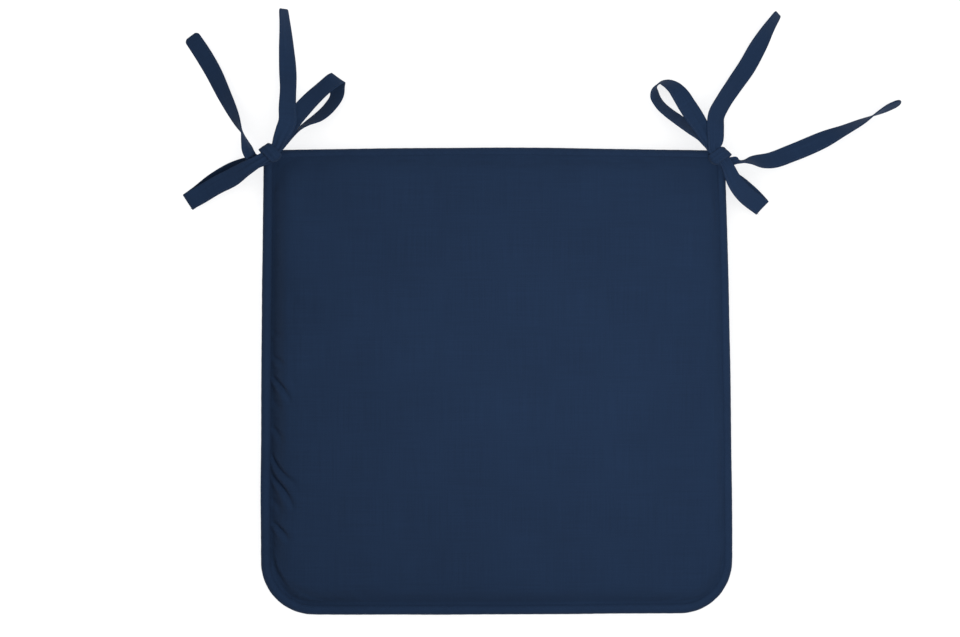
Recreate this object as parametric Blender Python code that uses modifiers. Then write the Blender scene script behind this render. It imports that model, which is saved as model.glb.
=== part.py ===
"""Square chair pad: a thin crowned foam cushion with a corded edge, and a pair of flat
cloth tapes at each rear corner, tied in a bow. It lies on its back on a flat surface.

Frame: metres, +Z up. The origin is the middle of the flat underside, +Y points to the
rear edge (the side with the ties) and +X to the right as seen from above.
"""

import math
from collections import namedtuple

import bmesh
import bpy
from mathutils import Vector

# ---------------------------------------------------------------- driving dimensions, in mm
MM = 0.001
GAP = 0.3                    # clearance that neighbouring pieces keep

PAD_HEIGHT = 28.0            # the crown above the surface that the pad lies on
SEAM_HEIGHT = 11.65          # middle of the seam and of the piping
SEAM_BAND = 2.4              # height of the sewn edge that the piping covers
TOP_SHOULDER = 5.5           # how fast the top rises from the seam
TOP_CROWN = 50.0             # how slowly it goes on rising after that
CROWN_SHARE = 0.45           # share of the rise that belongs to the crown
UNDERSIDE_CURVE = 20.0       # width of the rounded edge under the pad
EAR_DROOP = 0.9              # the filling stops short of the rear corners
EAR_REACH = 20.0             # how far from such a corner that is felt

PIPING_DIAMETER = 8.2
PIPING_ROUNDNESS = 2         # extra points on each quarter of its section
TIE_WIDTH = 15.6
TIE_THICKNESS = 1.2

Corner = namedtuple("Corner", "x y radius")
OUTLINE = [                  # outer edge of the piping, counter-clockwise from above
    Corner(193.8, 195.8, 12.0),
    Corner(-198.2, 196.3, 12.0),
    Corner(-201.0, -198.6, 45.0),
    Corner(201.0, -197.0, 45.0),
]
SIDE_BOW = [2.2, 0.6, 0.6, 1.0]   # how far each side swells: rear, left, front, right
LEAST_RADIUS = 2.0           # of a corner, however far in
SIDE_STEPS = 9               # stretches that a side is made of
ARC_STEPS = (7, 7, 10, 10)   # and each corner

SEAM_CLEARANCE = 0.33       # the cover's edge keeps off the piping's round inner side
SEAM_INSET = PIPING_DIAMETER + SEAM_CLEARANCE
TOP_RINGS = [0.0, 1.2, 3.0, 5.5, 9.0, 13.5, 20.0, 30.0, 48.0, 80.0, 125.0]   # from the seam
UNDER_RINGS = [0.0, 1.2, 3.0, 5.5, 9.0, 13.5, UNDERSIDE_CURVE]

NAVY = (0.016, 0.031, 0.069)
NAVY_TAPE = (0.018, 0.034, 0.074)
CLOTH_ROUGHNESS = 0.85

# ------------------------------------------------------------------------------ the ties
# A tie is a flat tape, given by rows from its sewn end to its free end:
#   along, out  place in its bow's frame: along the bow, and outward from the pad
#   rise        height of the tape's lowest edge
#   heading     compass direction of the line across the tape, from 0 (along) to 90 (out)
#   tilt        slope of that line: 0 lies flat, 90 stands on edge, 180 is turned over
#   width       how wide the tape is there: full, or gathered in the knot
Row = namedtuple("Row", "along out rise heading tilt width")
Bow = namedtuple("Bow", "x y axis hand")
W = TIE_WIDTH

BOWS = {
    "left": Bow(-191.0, 193.6, 40.0, 1),
    "right": Bow(187.6, 191.0, 131.0, -1),
}

# The core tie lies under the knot, leaves it for its loop and comes back through the wrap.
CORE_START = [
    Row(5.0, -1.0, 16.3, -90, 0, 9.5),
    Row(-2.0, -1.0, 16.3, -90, 0, 10.0),
    Row(-8.0, -0.5, 16.2, -90, 0, 10.5),
]
CORE_THROUGH = [
    Row(-7.0, 0.2, 22.4, -90, 0, 9.6),
    Row(0.0, 0.0, 22.2, -90, 0, 9.6),
    Row(6.5, 0.2, 22.2, -90, 0, 10.0),
]
# The wrap tie climbs the pad's side of the knot, passes over the core and down outside
# it, turns under the core to its own loop, and comes back through the knot.
WRAP_START = [
    Row(0.5, -8.4, 16.6, -180, 0, 9.0),
    Row(0.5, -8.2, 19.0, -180, 0, 10.0),
    Row(0.3, -7.3, 22.5, -180, 0, 11.0),
    Row(0.0, -4.5, 24.5, -180, 0, 11.0),
    Row(-0.3, 0.0, 24.9, -180, 0, 11.0),
    Row(-0.6, 4.5, 24.5, -183, 0, 11.0),
    Row(-1.6, 7.2, 22.4, -187, 0, 10.4),
    Row(-2.8, 8.0, 20.4, -187, 0, 9.0),
    Row(-3.6, 7.2, 18.5, -180, 0, 7.0),
    Row(-3.8, 4.2, 18.2, -160, 0, 6.5),
    Row(-1.6, 1.0, 18.2, -128, 0, 6.5),
    Row(3.0, 0.0, 18.2, -95, 0, 7.5),
]
WRAP_THROUGH = [
    Row(8.0, 0.2, 20.4, -90, 0, 10.5),
    Row(0.0, 0.0, 20.2, -90, 0, 10.5),
    Row(-7.5, 0.3, 20.0, -92, 0, 9.5),
]

# Left bow: a flat loop toward the left, an open loop behind the rear edge, a tail that
# stands up from the rear edge and a long tail with a half turn near its root.
LEFT_CORE_LOOP = [
    Row(-13.0, 1.5, 15.8, -94, 0, 11.0),
    Row(-22.7, 5.4, 10.6, -100, 5, 14.0),
    Row(-35.8, 10.4, 3.6, -102, 4, W),
    Row(-54.0, 13.8, 0.8, -101, 0, W),
    Row(-70.9, 14.3, 0.3, -101, 0, W),
    Row(-80.2, 14.8, 0.4, -100, 0, W),
    Row(-82.6, 14.9, 2.2, -100, 0, W),
    Row(-80.2, 14.6, 4.0, -100, 0, W),
    Row(-71.2, 12.6, 5.4, -101, 2, W),
    Row(-54.0, 9.3, 9.8, -101, 5, W),
    Row(-37.5, 4.9, 15.6, -99, 8, W),
    Row(-25.0, 2.9, 20.6, -98, 10, 13.0),
    Row(-14.5, 1.0, 23.4, -92, 4, 10.5),
]
LEFT_CORE_TAIL = [
    Row(13.2, 3.6, 23.0, -74, -4, 12.0),
    Row(20.0, 6.6, 22.9, -66, -8, 14.5),
    Row(27.0, 10.4, 21.4, -58, -14, W),
    Row(33.6, 18.6, 18.2, -50, -22, W),
    Row(44.5, 31.4, 10.5, -42, -34, W),
    Row(54.3, 44.2, 5.0, -40, -24, W),
    Row(65.5, 59.2, 1.6, -40, -38, W),
    Row(76.8, 74.6, 0.4, -38, -56, W),
    Row(86.4, 88.2, 0.3, -44, -68, W),
]
LEFT_WRAP_LOOP = [
    Row(10.0, 0.3, 17.8, -90, 6, 8.5),
    Row(18.5, 0.8, 13.0, -92, 48, 11.0),
    Row(28.4, 0.8, 7.4, -95, 74, 14.0),
    Row(38.5, 0.0, 3.6, -88, 70, W),
    Row(49.3, -1.7, 1.4, -80, 52, W),
    Row(62.7, -1.0, 0.5, -61, 43, W),
    Row(73.9, 2.8, 0.3, -42, 37, W),
    Row(79.2, 8.8, 0.3, -56, 30, W),
    Row(82.2, 12.0, 0.7, -68, 22, W),
    Row(84.4, 13.2, 2.6, -75, 18, W),
    Row(82.0, 13.8, 4.8, -80, 22, W),
    Row(68.5, 14.2, 6.6, -87, 28, W),
    Row(54.7, 13.3, 10.0, -87, 20, W),
    Row(42.7, 11.4, 13.2, -87, 15, W),
    Row(29.9, 8.0, 16.4, -88, 10, 14.0),
    Row(17.5, 2.6, 19.7, -88, 4, 11.0),
]
LEFT_WRAP_TAIL = [
    Row(-12.4, 2.6, 18.7, -122, 10, 8.0),
    Row(-15.2, 6.8, 17.2, -172, 18, 9.5),
    Row(-14.8, 12.2, 14.2, -196, 42, 12.5),
    Row(-12.0, 18.0, 9.4, -202, 64, W),
    Row(-8.6, 27.0, 5.0, -204, 88, W),
    Row(-5.6, 39.0, 2.4, -200, 114, W),
    Row(0.1, 62.8, 0.5, -192, 142, W),
    Row(5.9, 86.3, 0.3, -188, 158, W),
    Row(8.9, 103.8, 0.3, -184, 161, W),
    Row(10.9, 121.8, 0.3, -182, 154, W),
]

# Right bow: a flat loop outward over the right edge, a round open loop behind the rear
# edge, a tail up beside it and a long tail that turns on edge twice.
RIGHT_CORE_LOOP = [
    Row(-14.0, -2.4, 15.8, -90, 4, 11.0),
    Row(-23.0, -3.2, 12.6, -96, 20, 13.5),
    Row(-36.6, -0.8, 3.4, -98, 10, W),
    Row(-48.2, 0.8, 0.5, -99, 2, W),
    Row(-56.2, 0.8, 0.4, -100, 0, W),
    Row(-58.6, 0.5, 2.2, -100, 0, W),
    Row(-56.2, 0.0, 4.0, -100, 0, W),
    Row(-48.4, -2.2, 7.0, -98, 3, W),
    Row(-38.4, -4.4, 13.0, -97, 6, W),
    Row(-24.0, -4.4, 20.2, -97, 9, 14.0),
    Row(-14.0, -1.6, 23.4, -92, 4, 11.0),
]
RIGHT_CORE_TAIL = [
    Row(11.5, 4.6, 22.8, -62, 0, 12.0),
    Row(19.0, 12.4, 21.8, -50, 6, 14.6),
    Row(26.0, 19.2, 17.4, -44, 22, W),
    Row(31.7, 33.1, 11.0, -42, 30, W),
    Row(36.4, 50.5, 5.2, -36, 24, W),
    Row(41.3, 70.2, 1.8, -26, 8, W),
    Row(47.3, 86.7, 0.6, -30, 16, W),
    Row(53.2, 103.1, 0.3, -24, 45, W),
    Row(57.9, 119.0, 0.3, -22, 66, W),
]
RIGHT_WRAP_LOOP = [
    Row(10.0, 0.0, 18.0, -92, 6, 8.5),
    Row(19.6, -0.2, 12.0, -100, 44, 12.0),
    Row(31.4, -2.5, 6.8, -98, 53, W),
    Row(44.4, -4.8, 3.4, -96, 49, W),
    Row(54.9, -7.0, 1.4, -94, 51, W),
    Row(66.1, -7.9, 0.5, -83, 53, W),
    Row(74.2, -6.0, 0.3, -62, 56, W),
    Row(78.3, -2.2, 0.3, -52, 72, W),
    Row(79.4, 1.4, 0.3, -95, 88, W),
    Row(78.7, 4.8, 0.6, -136, 76, W),
    Row(75.6, 7.8, 2.2, -126, 60, W),
    Row(69.5, 10.0, 5.4, -106, 41, W),
    Row(60.3, 10.0, 9.6, -94, 18, W),
    Row(49.8, 8.2, 13.0, -91, 6, W),
    Row(38.3, 6.2, 16.2, -91, 4, W),
    Row(28.1, 4.4, 18.4, -92, 6, 14.0),
    Row(17.0, 1.6, 19.8, -90, 3, 11.0),
]
RIGHT_WRAP_TAIL = [
    Row(-10.6, 4.2, 19.0, -128, 10, 7.6),
    Row(-12.8, 8.2, 18.0, -138, 34, 8.0),
    Row(-15.6, 10.2, 15.0, -140, 74, 10.0),
    Row(-19.4, 14.2, 11.6, -142, 76, 14.0),
    Row(-24.0, 20.2, 9.2, -139, 53, W),
    Row(-32.2, 31.4, 6.6, -140, 30, W),
    Row(-39.5, 50.0, 3.2, -154, 15, W),
    Row(-46.6, 71.4, 1.2, -163, 15, W),
    Row(-53.3, 94.3, 0.4, -168, 52, W),
    Row(-58.8, 114.2, 0.3, -166, 75, W),
    Row(-61.3, 126.0, 0.3, -165, 96, W),
    Row(-63.9, 136.3, 0.3, -165, 109, W),
    Row(-67.6, 148.5, 0.3, -164, 106, W),
]

TIES = {
    "tie_left_core": ("left", CORE_START + LEFT_CORE_LOOP + CORE_THROUGH + LEFT_CORE_TAIL),
    "tie_left_wrap": ("left", WRAP_START + LEFT_WRAP_LOOP + WRAP_THROUGH + LEFT_WRAP_TAIL),
    "tie_right_core": ("right", CORE_START + RIGHT_CORE_LOOP + CORE_THROUGH + RIGHT_CORE_TAIL),
    "tie_right_wrap": ("right", WRAP_START + RIGHT_WRAP_LOOP + WRAP_THROUGH + RIGHT_WRAP_TAIL),
}
TIE_STEP = 3.4               # longest stretch of tape between two cross lines
LEAST_SPAN = 0.5             # between two rows, however close they are


# ------------------------------------------------------------------------------ the scene
def clear_scene():
    for thing in list(bpy.data.objects):
        bpy.data.objects.remove(thing, do_unlink=True)


def new_collection(name):
    collection = bpy.data.collections.new(name)
    bpy.context.scene.collection.children.link(collection)
    return collection


def material(name, colour, roughness):
    made = bpy.data.materials.new(name)
    made.use_nodes = True
    shader = made.node_tree.nodes["Principled BSDF"]
    shader.inputs["Base Color"].default_value = (*colour, 1.0)
    shader.inputs["Roughness"].default_value = roughness
    shader.inputs["Metallic"].default_value = 0.0
    return made


def add_object(name, data, collection, finish):
    made = bpy.data.objects.new(name, data)
    data.materials.append(finish)
    collection.objects.link(made)
    return made


# ---------------------------------------------------------------------------- the outline
def inset_corners(inset):
    """The outline's corners after every side has moved inward by inset."""
    moved = []
    count = len(OUTLINE)
    for i, corner in enumerate(OUTLINE):
        here = Vector((corner.x, corner.y))
        before = Vector(OUTLINE[i - 1][:2])
        after = Vector(OUTLINE[(i + 1) % count][:2])
        arriving = (here - before).normalized()
        leaving = (after - here).normalized()
        turn = math.acos(max(-1.0, min(1.0, arriving.dot(leaving))))
        inward = (leaving - arriving).normalized()
        moved.append(here + inward * inset / math.cos(turn / 2))
    return moved


def outline(inset):
    """Points of the rounded outline, inset mm inside the piping's outer edge."""
    corners = inset_corners(inset)
    count = len(corners)
    points = []
    arcs = []
    for i, here in enumerate(corners):
        arriving = (here - corners[i - 1]).normalized()
        leaving = (corners[(i + 1) % count] - here).normalized()
        turn = math.acos(max(-1.0, min(1.0, arriving.dot(leaving))))
        radius = max(OUTLINE[i].radius - inset, LEAST_RADIUS)
        tangent = radius * math.tan(turn / 2)
        centre = here - arriving * tangent + Vector((-arriving.y, arriving.x)) * radius
        start = math.atan2(-arriving.x, arriving.y)
        arcs.append([
            centre + radius * Vector((math.cos(start + turn * k / ARC_STEPS[i]),
                                      math.sin(start + turn * k / ARC_STEPS[i])))
            for k in range(ARC_STEPS[i] + 1)
        ])
    for i, arc in enumerate(arcs):
        points.extend(arc)
        start = arc[-1]
        end = arcs[(i + 1) % count][0]
        outward = Vector((end.y - start.y, start.x - end.x)).normalized()
        for k in range(1, SIDE_STEPS):
            share = k / SIDE_STEPS
            swell = SIDE_BOW[i] * math.sin(math.pi * share)
            points.append(start.lerp(end, share) + outward * swell)
    return points


# -------------------------------------------------------------------------------- the pad
def ear_factor(x, y):
    """How full the pad is near a rear corner, where the filling stops short."""
    factor = 1.0
    for corner in OUTLINE[:2]:
        reach = math.hypot(x - corner.x, y - corner.y) - SEAM_INSET
        factor *= 1.0 - EAR_DROOP * math.exp(-(max(reach, 0.0) / EAR_REACH) ** 2)
    return factor


def rise(inset):
    """How far the top has risen from the seam: a quick shoulder and a slow crown."""
    shoulder = (1.0 - CROWN_SHARE) * math.exp(-inset / TOP_SHOULDER)
    crown = CROWN_SHARE * math.exp(-inset / TOP_CROWN)
    return 1.0 - shoulder - crown


def top_height(x, y, inset):
    base = SEAM_HEIGHT + SEAM_BAND / 2
    share = rise(inset) / rise(TOP_RINGS[-1])
    return base + (PAD_HEIGHT - base) * share * ear_factor(x, y)


def under_height(x, y, inset):
    share = inset / UNDERSIDE_CURVE
    return (SEAM_HEIGHT - SEAM_BAND / 2) * (1.0 - math.sin(share * math.pi / 2))


def pad_ring(inset, height):
    """The outline at the seam, moved inward by inset, at the height of that place."""
    points = outline(SEAM_INSET + inset)
    return [Vector((p.x, p.y, height(p.x, p.y, inset))) * MM for p in points]


def extrude_ring(bm, edges, points):
    """Extrude a closed ring of edges and lay its new vertices on the points."""
    made = bmesh.ops.extrude_edge_only(bm, edges=edges)["geom"]
    fresh = [part for part in made if isinstance(part, bmesh.types.BMVert)]
    for vert, point in zip(fresh, points):
        vert.co = point
    return [part for part in made if isinstance(part, bmesh.types.BMEdge)
            and all(v in fresh for v in part.verts)]


def make_pad(collection, finish):
    rings = [pad_ring(inset, under_height) for inset in reversed(UNDER_RINGS)]
    rings += [pad_ring(inset, top_height) for inset in TOP_RINGS]
    bm = bmesh.new()
    verts = bmesh.ops.create_circle(bm, segments=len(rings[0]), radius=1.0)["verts"]
    for vert, point in zip(verts, rings[0]):
        vert.co = point
    first = list(bm.edges)
    edges = first
    for ring in rings[1:]:
        edges = extrude_ring(bm, edges, ring)
    bmesh.ops.edgeloop_fill(bm, edges=first)
    bmesh.ops.edgeloop_fill(bm, edges=edges)
    bmesh.ops.recalc_face_normals(bm, faces=bm.faces)
    mesh = bpy.data.meshes.new("pad")
    bm.to_mesh(mesh)
    bm.free()
    made = add_object("pad", mesh, collection, finish)
    mesh.shade_smooth()
    return made


# ----------------------------------------------------------------------------- the piping
def make_piping(collection, finish):
    points = outline(PIPING_DIAMETER / 2)
    curve = bpy.data.curves.new("piping", "CURVE")
    curve.dimensions = "3D"
    spline = curve.splines.new("POLY")
    spline.points.add(len(points) - 1)
    for knot, p in zip(spline.points, points):
        knot.co = (p.x * MM, p.y * MM, SEAM_HEIGHT * MM, 1.0)
    spline.use_cyclic_u = True
    curve.bevel_depth = PIPING_DIAMETER / 2 * MM
    curve.bevel_resolution = PIPING_ROUNDNESS
    return add_object("piping", curve, collection, finish)


# ------------------------------------------------------------------------------- the ties
def smooth_rows(rows):
    """Every column read from a smooth curve through the rows, a short step apart."""
    places = [Vector(row[:3]) for row in rows]
    spans = [max((b - a).length, LEAST_SPAN) for a, b in zip(places, places[1:])]
    slopes = []
    for i, row in enumerate(rows):
        if 0 < i < len(rows) - 1:
            back, ahead = spans[i - 1], spans[i]
            slopes.append([
                ((here - last) / back * ahead + (after - here) / ahead * back) / (back + ahead)
                for last, here, after in zip(rows[i - 1], row, rows[i + 1])
            ])
        else:
            a, b = (rows[0], rows[1]) if i == 0 else (rows[-2], rows[-1])
            span = spans[0] if i == 0 else spans[-1]
            slopes.append([(q - p) / span for p, q in zip(a, b)])
    smooth = []
    for i, span in enumerate(spans):
        steps = max(2, math.ceil(span / TIE_STEP))
        for k in range(steps):
            t = k / steps
            smooth.append(Row(*[
                (2 * t**3 - 3 * t**2 + 1) * p + (t**3 - 2 * t**2 + t) * span * m
                + (3 * t**2 - 2 * t**3) * q + (t**3 - t**2) * span * n
                for p, q, m, n in zip(rows[i], rows[i + 1], slopes[i], slopes[i + 1])
            ]))
    smooth.append(rows[-1])
    return smooth


def tape_lines(bow, rows):
    """The two ends of each line across the tape, in the pad's frame."""
    axis = math.radians(bow.axis)
    centres = []
    across = []
    for row in smooth_rows(rows):
        x = bow.x + row.along * math.cos(axis) - bow.hand * row.out * math.sin(axis)
        y = bow.y + row.along * math.sin(axis) + bow.hand * row.out * math.cos(axis)
        tilt = math.radians(row.tilt)
        heading = axis + bow.hand * math.radians(row.heading)
        lift = (row.width * abs(math.sin(tilt)) + TIE_THICKNESS * abs(math.cos(tilt))) / 2
        centres.append(Vector((x, y, row.rise + lift)))
        across.append((Vector((math.cos(tilt) * math.cos(heading),
                               math.cos(tilt) * math.sin(heading),
                               math.sin(tilt))), row.width))
    lines = []
    for i, (centre, (side, width)) in enumerate(zip(centres, across)):
        ahead = (centres[min(i + 1, len(centres) - 1)] - centres[max(i - 1, 0)]).normalized()
        side = (side - ahead * side.dot(ahead)).normalized()
        half = side * width / 2
        level = math.hypot(side.x, side.y)
        lowest = centre.z - abs(half.z) - TIE_THICKNESS / 2 * level
        lift = Vector((0.0, 0.0, max(GAP - lowest, 0.0)))
        lines.append((centre + lift - half, centre + lift + half))
    return lines


def make_tie(name, bow, rows, collection, finish):
    lines = tape_lines(bow, rows)
    bm = bmesh.new()
    grid = bmesh.ops.create_grid(bm, x_segments=1, y_segments=len(lines) - 1, size=1.0)
    for i, vert in enumerate(grid["verts"]):
        vert.co = lines[i // 2][i % 2] * MM
    mesh = bpy.data.meshes.new(name)
    bm.to_mesh(mesh)
    bm.free()
    made = add_object(name, mesh, collection, finish)
    thicken = made.modifiers.new("tape thickness", "SOLIDIFY")
    thicken.thickness = TIE_THICKNESS * MM
    thicken.offset = 0.0
    return made


def main():
    clear_scene()
    parts = new_collection("chair_pad")
    cotton = material("navy cotton", NAVY, CLOTH_ROUGHNESS)
    tape = material("navy tape", NAVY_TAPE, CLOTH_ROUGHNESS)
    make_pad(parts, cotton)
    make_piping(parts, cotton)
    for name, (side, rows) in TIES.items():
        make_tie(name, BOWS[side], rows, parts, tape)


main()
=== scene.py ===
# %% [markdown]
# # A chair pad with a corded edge and tied bows
#
# The object is a square pad for a dining chair: a flat slab of foam in a navy cotton
# cover, a round cord in its own bias cover sewn into the seam all the way round, and two
# flat cloth tapes at each rear corner, tied in a bow. It lies face up on a pale floor.
#
# The solids of the pad are loaded first and never moved. Each soft piece is then built
# again in the space of its solid, with the seams, folds and cloth that a plain solid
# leaves out. Everything is in metres, +Z is up and +Y points to the rear edge.

# %% Load the solids
import math
from collections import namedtuple

import bmesh
import bpy
import numpy as np
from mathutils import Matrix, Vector
from mathutils.kdtree import KDTree
from mathutils.noise import noise


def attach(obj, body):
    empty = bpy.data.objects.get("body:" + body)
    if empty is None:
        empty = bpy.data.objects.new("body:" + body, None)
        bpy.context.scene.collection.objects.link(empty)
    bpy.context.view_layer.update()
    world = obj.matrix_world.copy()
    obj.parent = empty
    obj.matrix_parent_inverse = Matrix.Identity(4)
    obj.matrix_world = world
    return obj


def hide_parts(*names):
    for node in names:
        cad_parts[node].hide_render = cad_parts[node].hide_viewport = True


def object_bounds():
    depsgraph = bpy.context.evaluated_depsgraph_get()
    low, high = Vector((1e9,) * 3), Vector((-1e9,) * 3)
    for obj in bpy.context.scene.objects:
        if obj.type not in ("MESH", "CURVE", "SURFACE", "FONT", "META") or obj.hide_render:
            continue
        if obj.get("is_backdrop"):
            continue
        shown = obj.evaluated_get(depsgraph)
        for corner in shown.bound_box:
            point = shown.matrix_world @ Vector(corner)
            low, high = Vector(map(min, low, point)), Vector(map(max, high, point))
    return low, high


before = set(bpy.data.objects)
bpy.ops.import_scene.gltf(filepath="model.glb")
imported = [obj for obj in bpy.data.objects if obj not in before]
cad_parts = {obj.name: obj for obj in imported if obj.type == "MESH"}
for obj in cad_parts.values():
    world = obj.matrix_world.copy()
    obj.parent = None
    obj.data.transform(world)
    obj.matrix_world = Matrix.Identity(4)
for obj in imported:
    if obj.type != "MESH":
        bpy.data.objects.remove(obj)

cad_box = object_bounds()
MM = 0.001
print("solids:", ", ".join(sorted(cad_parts)))

# %% [markdown]
# ## Sizes that every piece shares
#
# A maker starts from the pattern: the outline of the pad with its corner radii. The rear
# corners are nearly square, because the tapes are sewn in there, and the front corners
# are round. The same four corners, moved inward, give the line of the cord and the seam,
# so they are written once, in millimetres, and everything else is worked out from them.

# %% The pattern
Corner = namedtuple("Corner", "x y radius")
OUTLINE = [  # outer edge of the cord, counter-clockwise from above
    Corner(193.8, 195.8, 12.0),
    Corner(-198.2, 196.3, 12.0),
    Corner(-201.0, -198.6, 45.0),
    Corner(201.0, -197.0, 45.0),
]
SIDE_SWELL = [2.2, 0.6, 0.6, 1.0]  # rear, left, front and right side
LEAST_RADIUS = 2.0
CORD_RADIUS = 4.3
SEAM_HEIGHT = 11.65
SEAM_INSET = 2 * CORD_RADIUS - 0.8  # the panels' edges go a little way into the cord
ARC_STEPS = 12
SIDE_STEPS = 24


def inset_corners(inset):
    """The corners of the outline after every side has moved inward."""
    moved = []
    for i, corner in enumerate(OUTLINE):
        here = Vector(corner[:2])
        arriving = (here - Vector(OUTLINE[i - 1][:2])).normalized()
        leaving = (Vector(OUTLINE[(i + 1) % 4][:2]) - here).normalized()
        turn = arriving.angle(leaving)
        moved.append(here + (leaving - arriving).normalized() * inset / math.cos(turn / 2))
    return moved


def corner_arc(i, inset, corners):
    """Points of one rounded corner."""
    arriving = (corners[i] - corners[i - 1]).normalized()
    leaving = (corners[(i + 1) % 4] - corners[i]).normalized()
    turn = arriving.angle(leaving)
    radius = max(OUTLINE[i].radius - inset, LEAST_RADIUS)
    centre = corners[i] - arriving * radius * math.tan(turn / 2)
    centre += Vector((-arriving.y, arriving.x)) * radius
    start = math.atan2(-arriving.x, arriving.y)
    return [centre + radius * Vector((math.cos(start + turn * k / ARC_STEPS),
                                      math.sin(start + turn * k / ARC_STEPS)))
            for k in range(ARC_STEPS + 1)]


def side_line(side, inset):
    """One side, from the middle of its first corner to the middle of its next one."""
    corners = inset_corners(inset)
    first = corner_arc(side, inset, corners)[ARC_STEPS // 2:]
    last = corner_arc((side + 1) % 4, inset, corners)[:ARC_STEPS // 2 + 1]
    start, end = first[-1], last[0]
    outward = Vector((end.y - start.y, start.x - end.x)).normalized()
    middle = [start.lerp(end, k / SIDE_STEPS)
              + outward * SIDE_SWELL[side] * math.sin(math.pi * k / SIDE_STEPS)
              for k in range(1, SIDE_STEPS)]
    return first + middle + last


def evenly(line, count):
    """That many points, the same distance apart along the line, both ends included."""
    steps = [(b - a).length for a, b in zip(line, line[1:])]
    travelled = np.concatenate([[0.0], np.cumsum(steps)])
    wanted = np.linspace(0.0, travelled[-1], count)
    return np.stack([np.interp(wanted, travelled, [p[axis] for p in line])
                     for axis in (0, 1)], axis=1)


def whole_outline(inset, spacing):
    """The closed outline, as points about that far apart."""
    points = []
    for side in range(4):
        line = side_line(side, inset)
        length = sum((b - a).length for a, b in zip(line, line[1:]))
        points.extend(evenly(line, max(2, round(length / spacing)) + 1)[:-1])
    return np.array(points)


seam = whole_outline(SEAM_INSET, 1.0)
print(f"seam: {len(seam)} mm long")

# %% [markdown]
# ## The cover's panels
#
# The cover is two square panels of cloth, sewn together round their edges and filled
# with a foam slab. A pad could be one box with a bevel, but then the mesh would not run
# like the cloth. Here each panel is a grid, as cloth is, and each of its rings is laid on
# the outline at its own distance from the seam. The rings are close together where the
# cloth turns down to the seam and wide apart on the flat, so they are counted along the
# curve of the pad's edge and not along the table.

# %% How high the cover stands
BAND = 2.6  # the lower panel starts this far below the seam
DOME = 6.6  # how much the filling rounds the top, edge to middle
UNDER_CURVE = 22.0  # width of the rounded edge below
PANEL_X, PANEL_Y = 192.0, 191.0  # from the middle of a panel to its seams
# lap: how far a side leans out over the cord; start: how far over the seam it begins;
# lip: its flat rim; rise and reach: height and width of the shoulder that comes next
Edge = namedtuple("Edge", "lap start lip rise reach")
SIDE_EDGES = [  # the slab lies nearer to the right seam than to the left
    Edge(1.5, 3.8, 0.0, 3.4, 15.0),  # rear
    Edge(-0.2, 0.4, 0.3, 12.3, 15.5),  # left
    Edge(-0.2, 1.8, 2.6, 5.2, 13.0),  # front
    Edge(1.0, 3.1, 0.0, 3.4, 6.6),  # right
]
SIDE_BLEND = 30.0  # how gradually one side's edge becomes the next one's
LIP_SOFTNESS = 1.4  # how gently a lip turns up into its shoulder
SLACK = 7.0  # the left shoulder is this much wider toward the front
SLACK_LIFT = 0.15  # and higher by this share of it
SLACK_Y, SLACK_BLEND = -70.0, 25.0  # where that starts, and how gradually
EAR_FLATNESS, EAR_SIZE = 0.9, 20.0  # the foam stops short of the rear corners


def ear_fullness(x, y):
    """1 on most of the pad, and less at the rear corners."""
    fullness = 1.0
    for corner in OUTLINE[:2]:
        reach = max(math.hypot(x - corner.x, y - corner.y) - SEAM_INSET, 0.0)
        fullness *= 1.0 - EAR_FLATNESS * math.exp(-(reach / EAR_SIZE) ** 2)
    return fullness


def edge_at(x, y):
    """Start, lip, rise and reach at a place, shared between the sides near it."""
    nearness = [math.exp(v / SIDE_BLEND) for v in (y, -x, -y, x)]
    start, lip, rise, reach = [
        sum(n * edge[k] for n, edge in zip(nearness, SIDE_EDGES)) / sum(nearness)
        for k in range(1, 5)]
    slack = SLACK * nearness[1] / sum(nearness) / (1.0 + math.exp((y - SLACK_Y) / SLACK_BLEND))
    return start, lip, rise + SLACK_LIFT * slack, reach + slack


def top_height(x, y, inset):
    """A lip, a rounded shoulder and a low dome, flatter at the rear corners."""
    start, lip, rise, reach = edge_at(x, y)
    past = 0.5 * (inset - lip + math.hypot(inset - lip, LIP_SOFTNESS))
    past -= 0.5 * (math.hypot(lip, LIP_SOFTNESS) - lip)
    share = min(past / reach, 1.0)
    shoulder = rise * (1.5 * share - 0.5 * share ** 3)
    dome = DOME * max(1.0 - (x / PANEL_X) ** 2, 0.0) * max(1.0 - (y / PANEL_Y) ** 2, 0.0)
    return SEAM_HEIGHT + start + (shoulder + dome) * ear_fullness(x, y)


def under_height(inset):
    turned = min(inset / UNDER_CURVE, 1.0)
    return (SEAM_HEIGHT - BAND) * (1.0 - math.sin(turned * math.pi / 2))


print(f"the top is {top_height(0.0, 0.0, PANEL_Y):.1f} mm high in the middle")

# %% Rings of the grid
RINGS = 46
reach = np.linspace(0.0, PANEL_Y, round(10 * PANEL_Y) + 1)
rise = np.array([top_height(d - PANEL_Y, 0.0, d) for d in reach])
along_cloth = np.concatenate([[0.0], np.cumsum(np.hypot(np.diff(reach), np.diff(rise)))])
share = np.linspace(0.0, 1.0, RINGS + 1)
ring_insets = np.interp(along_cloth[-1] * (0.5 * share + 0.5 * share ** 2), along_cloth, reach)
extra_cloth = along_cloth[-1] - PANEL_Y
print(f"rings: first {ring_insets[1]:.1f} mm, last {PANEL_Y - ring_insets[-2]:.1f} mm apart")
print(f"cloth used up by the turned edge: {extra_cloth:.1f} mm a side")

# %% [markdown]
# A helper does the same for every cloth piece here: it adds a grid, puts each of its
# points where a rule says, and writes the same point's place on the flat cut into the UV
# map. The weave follows that map later, so it bends with the cloth and never stretches.

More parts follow.
